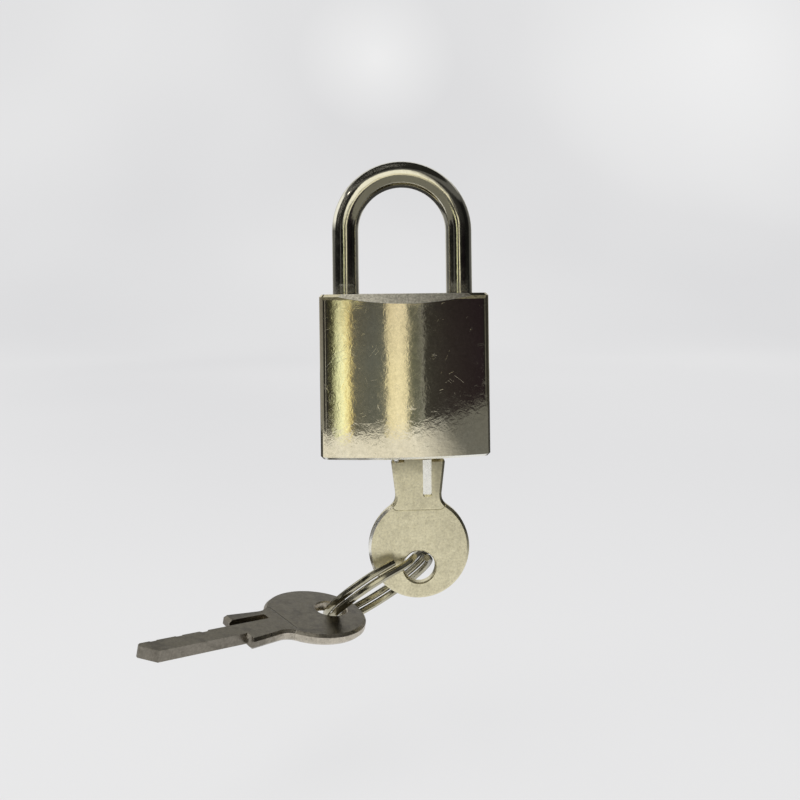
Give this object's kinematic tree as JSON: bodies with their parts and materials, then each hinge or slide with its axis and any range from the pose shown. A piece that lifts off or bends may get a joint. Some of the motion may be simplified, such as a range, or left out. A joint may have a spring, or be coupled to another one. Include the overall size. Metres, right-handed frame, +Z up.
{
  "type": "handbag padlock",
  "caption": "Small handbag padlock with a round wire shackle, its key in the cylinder and a spare key on a split ring.",
  "frame": {"origin": "the hanging point: the middle of the underside of the shackle's crown", "axes": "+Z up along the shackle's legs, +X to the right seen from the front, +Y away from the front; the front faces -Y"},
  "size_m": [0.0382, 0.0262, 0.0584],
  "materials": {
    "body_plating": "polished nickel plating over brass, lightly scratched",
    "shackle_steel": "bright nickel-plated steel wire",
    "key_nickel": "satin nickel plating over brass, worn and speckled",
    "ring_steel": "bright nickel-plated spring steel strip",
    "plug_brass": "turned brass",
    "inner_brass": "turned brass",
    "pin_steel": "drawn steel",
    "spring_steel": "spring steel wire"
  },
  "bodies": {
    "lock": {"lock_body": "body_plating", "heel_retaining_pin": "body_plating", "plug_retaining_pin": "body_plating", "latch_bore_plug": "body_plating", "latch_spring": "spring_steel", "chamber_plug_1": "body_plating", "chamber_plug_2": "body_plating", "chamber_plug_3": "body_plating", "driver_pin_1": "inner_brass", "driver_pin_2": "inner_brass", "driver_pin_3": "inner_brass", "pin_spring_1": "spring_steel", "pin_spring_2": "spring_steel", "pin_spring_3": "spring_steel"},
    "shackle": {"shackle": "shackle_steel"},
    "cylinder": {"key_plug": "plug_brass", "drive_pin": "pin_steel", "key_pin_1": "inner_brass", "key_pin_2": "inner_brass", "key_pin_3": "inner_brass"},
    "latch": {"latch_bolt": "inner_brass"},
    "key": {"key_in_lock": "key_nickel"},
    "ring": {"split_ring": "ring_steel"},
    "spare": {"spare_key": "key_nickel"}
  },
  "joints": [
    {"name": "shackle_lift", "type": "slide", "parent": "lock", "child": "shackle", "axis": [0, 0, 1], "range_m": [0, 0.0055]},
    {"name": "plug_turn", "type": "hinge", "parent": "lock", "child": "cylinder", "pos_m": [0.00165, 0, -0.032], "axis": [0, 0, 1], "range_deg": [-180, 0]},
    {"name": "latch_slide", "type": "slide", "parent": "lock", "child": "latch", "axis": [1, 0, 0], "range_m": [0, 0.0012], "deforming": ["latch_spring"]},
    {"name": "key_withdraw", "type": "slide", "parent": "cylinder", "child": "key", "axis": [0, 0, -1], "range_m": [0, 0.0125]},
    {"name": "ring_swing", "type": "hinge", "parent": "key", "child": "ring", "pos_m": [0.0016, 0, -0.04585], "axis": [0, 1, 0], "range_deg": [-205, 50]},
    {"name": "spare_key_travel", "type": "hinge", "parent": "ring", "child": "spare", "pos_m": [-0.00328, 0.00339, -0.04965], "axis": [-0.4816, 0.4532, 0.7501], "range_deg": [-205, 50]}
  ],
  "couplings": [
    {"joint": "latch_slide", "follows": "plug_turn", "m_per_rad": -0.00038197}
  ]
}
